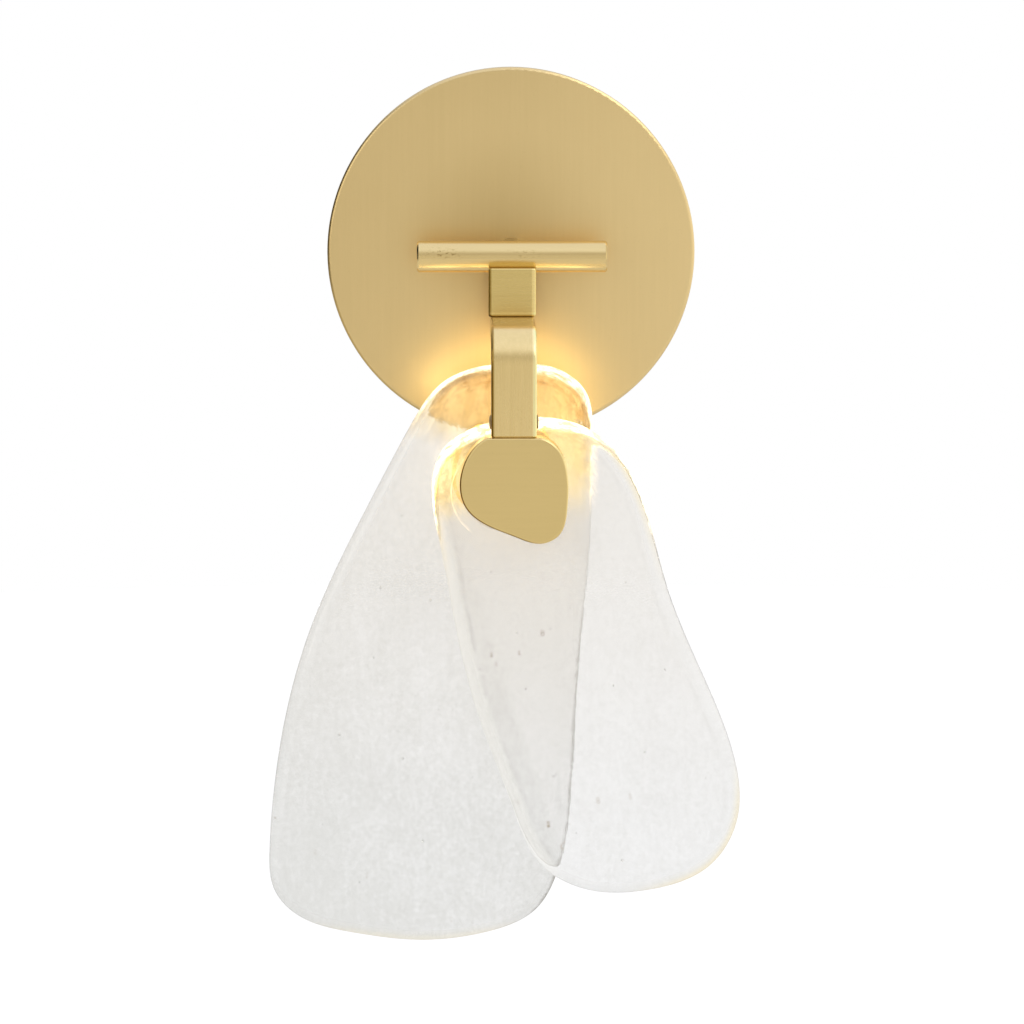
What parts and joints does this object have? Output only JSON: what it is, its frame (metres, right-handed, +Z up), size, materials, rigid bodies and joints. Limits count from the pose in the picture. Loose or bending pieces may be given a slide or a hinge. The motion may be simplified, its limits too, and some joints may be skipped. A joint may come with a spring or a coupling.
{
  "type": "wall sconce",
  "caption": "Wall sconce: overlapping thick glass petals clamped by a pebble-shaped casting on a bent flat arm, which hangs from a cross rod on a round canopy.",
  "frame": {"origin": "middle of the two wall screws, on the wall", "axes": "+Y into the wall, +X to the right as seen from the room, +Z up"},
  "size_m": [0.2385, 0.137, 0.4439],
  "materials": {
    "satin_brass": "satin",
    "dark_brass": "satin",
    "plated_steel": "satin",
    "green_steel": "satin",
    "core_aluminium": "satin",
    "clear_glass": "polished",
    "clear_silicone": "satin",
    "natural_nylon": "matt",
    "opal_plastic": "satin",
    "lamp_phosphor": "satin",
    "white_plastic": "matt",
    "lead_jacket": "matt"
  },
  "bodies": {
    "root": {"mounting_strap": "plated_steel", "ground_screw": "green_steel", "terminal_block": "white_plastic", "terminal_screw": "plated_steel", "canopy": "satin_brass", "canopy_nuts": "plated_steel", "canopy_set_screws": "dark_brass", "led_driver": "white_plastic", "driver_studs": "plated_steel", "driver_nuts": "plated_steel", "supply_leads": "lead_jacket", "tie_nipple": "plated_steel", "nipple_washer": "plated_steel", "nipple_nut": "plated_steel", "standoff": "satin_brass", "cross_rod": "satin_brass", "arm_block": "satin_brass", "arm": "satin_brass", "arm_bolt": "plated_steel", "arm_dowel": "plated_steel", "access_plug": "satin_brass", "arm_end_cap": "satin_brass", "tongue_screws": "dark_brass", "pebble": "satin_brass", "front_glass_petal": "clear_glass", "back_glass_petal": "clear_glass", "pebble_gasket": "clear_silicone", "drum_front_gasket": "clear_silicone", "drum_rear_gasket": "clear_silicone", "rear_gasket": "clear_silicone", "stud_sleeves": "natural_nylon", "dowel_sleeves": "natural_nylon", "drum_front_plate": "satin_brass", "drum_rear_plate": "satin_brass", "drum_core": "core_aluminium", "led_strip": "natural_nylon", "leds": "lamp_phosphor", "diffuser_band": "opal_plastic", "clamp_stud": "plated_steel", "front_dowel": "plated_steel", "rear_dowel": "plated_steel", "rear_disc": "satin_brass", "rear_washer": "satin_brass", "cap_nut": "satin_brass", "lamp_lead": "lead_jacket"}
  },
  "joints": []
}
